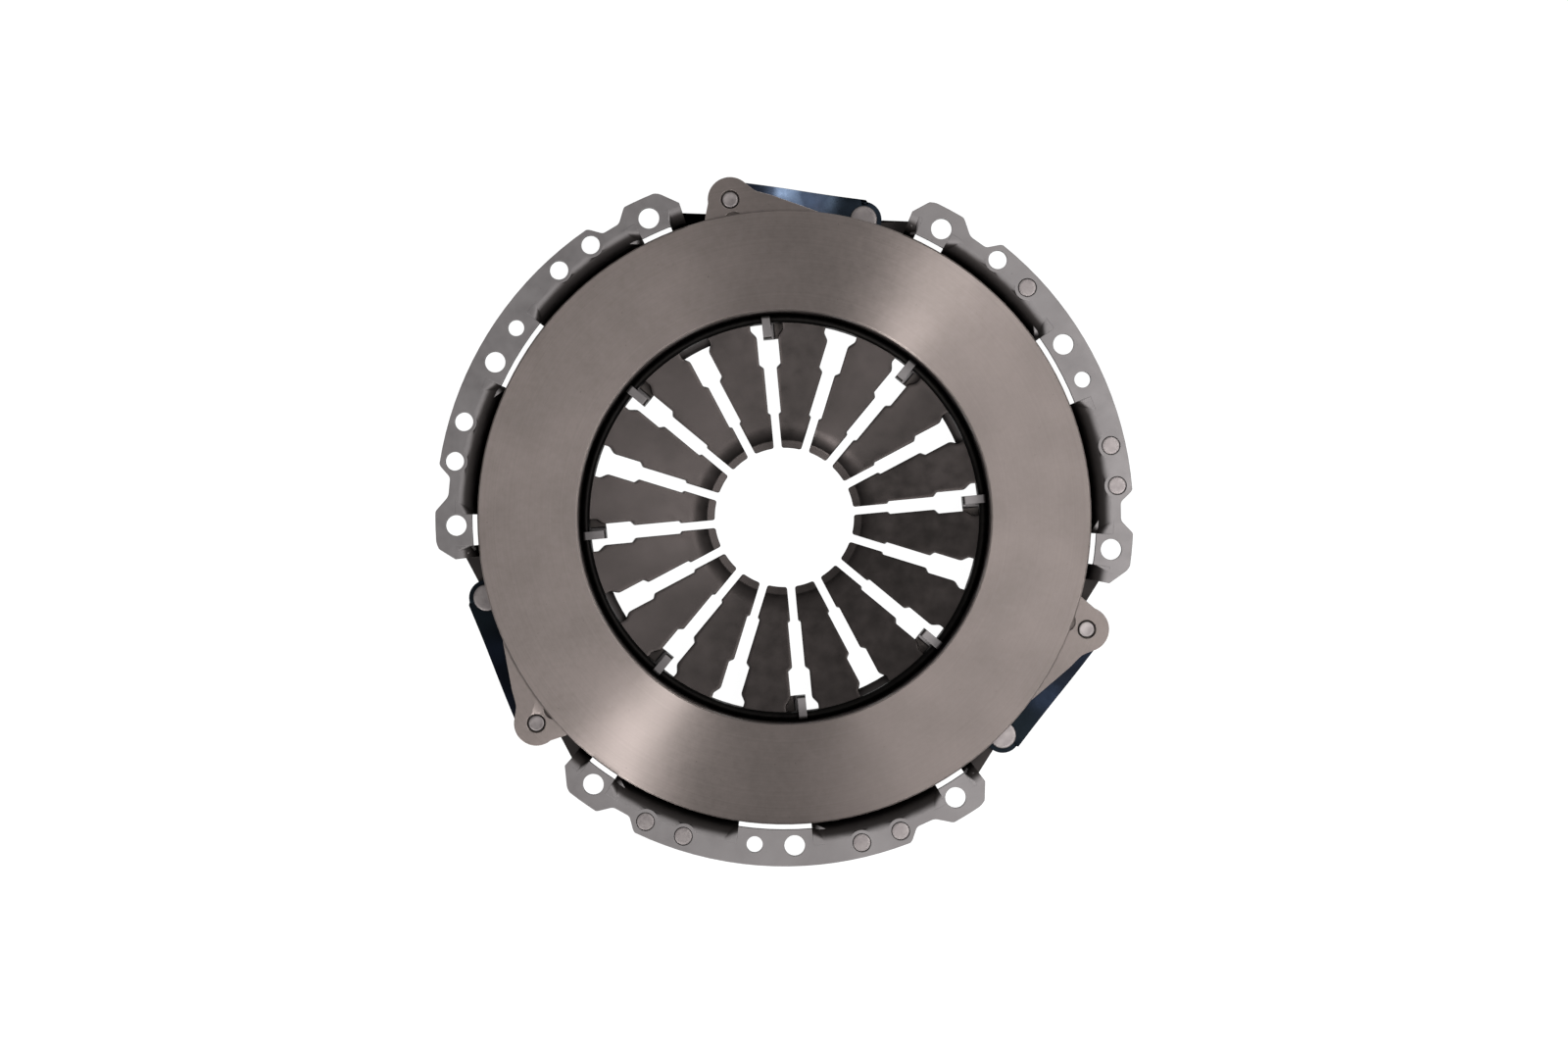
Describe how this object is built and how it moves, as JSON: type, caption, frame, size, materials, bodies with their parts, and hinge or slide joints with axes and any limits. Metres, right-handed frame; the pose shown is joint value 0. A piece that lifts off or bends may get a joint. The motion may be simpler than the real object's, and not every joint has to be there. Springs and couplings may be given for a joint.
{
  "type": "clutch pressure plate",
  "caption": "Diaphragm spring clutch pressure plate: pressed cover with bolt flange and hook tabs, cast iron plate on leaf drive straps, fingered spring and wire fulcrum ring.",
  "frame": {"origin": "on the clutch's axis, in the plane of the cover flange's mounting face", "axes": "+Z along the axis towards the flywheel, +X and +Y across it"},
  "size_m": [0.2765, 0.2735, 0.0388],
  "materials": {
    "cover_steel": "pressed bare steel, lightly oiled, satin",
    "cast_iron": "turned friction face on grey cast iron",
    "spring_steel": "tempered and shot-peened, dark grey brown, satin",
    "ring_wire": "drawn wire, dark, satin",
    "blued_steel": "blue tempered strip, glossy",
    "rivet_steel": "bare cold-headed steel, satin"
  },
  "bodies": {
    "cover_assembly": {"cover": "cover_steel", "diaphragm_spring": "spring_steel", "support_ring": "ring_wire", "strap_1_leaf_1": "blued_steel", "strap_1_leaf_2": "blued_steel", "strap_1_leaf_3": "blued_steel", "strap_2_leaf_1": "blued_steel", "strap_2_leaf_2": "blued_steel", "strap_2_leaf_3": "blued_steel", "strap_3_leaf_1": "blued_steel", "strap_3_leaf_2": "blued_steel", "strap_3_leaf_3": "blued_steel", "strap_rivet_1": "rivet_steel", "strap_rivet_2": "rivet_steel", "strap_rivet_3": "rivet_steel", "balance_rivet_1": "rivet_steel", "balance_rivet_2": "rivet_steel", "balance_rivet_3": "rivet_steel", "balance_rivet_4": "rivet_steel", "balance_rivet_5": "rivet_steel", "balance_rivet_6": "rivet_steel", "balance_rivet_7": "rivet_steel"},
    "plate": {"pressure_plate": "cast_iron", "lug_rivet_1": "rivet_steel", "lug_rivet_2": "rivet_steel", "lug_rivet_3": "rivet_steel"}
  },
  "joints": [
    {"name": "plate_lift", "type": "slide", "parent": "cover_assembly", "child": "plate", "axis": [0, 0, -1], "range_m": [0, 0.005], "stiffness_N_per_m": 20000, "springref_m": -0.004, "deforming": ["diaphragm_spring", "strap_1_leaf_1", "strap_1_leaf_2", "strap_1_leaf_3", "strap_2_leaf_1", "strap_2_leaf_2", "strap_2_leaf_3", "strap_3_leaf_1", "strap_3_leaf_2", "strap_3_leaf_3"]}
  ]
}
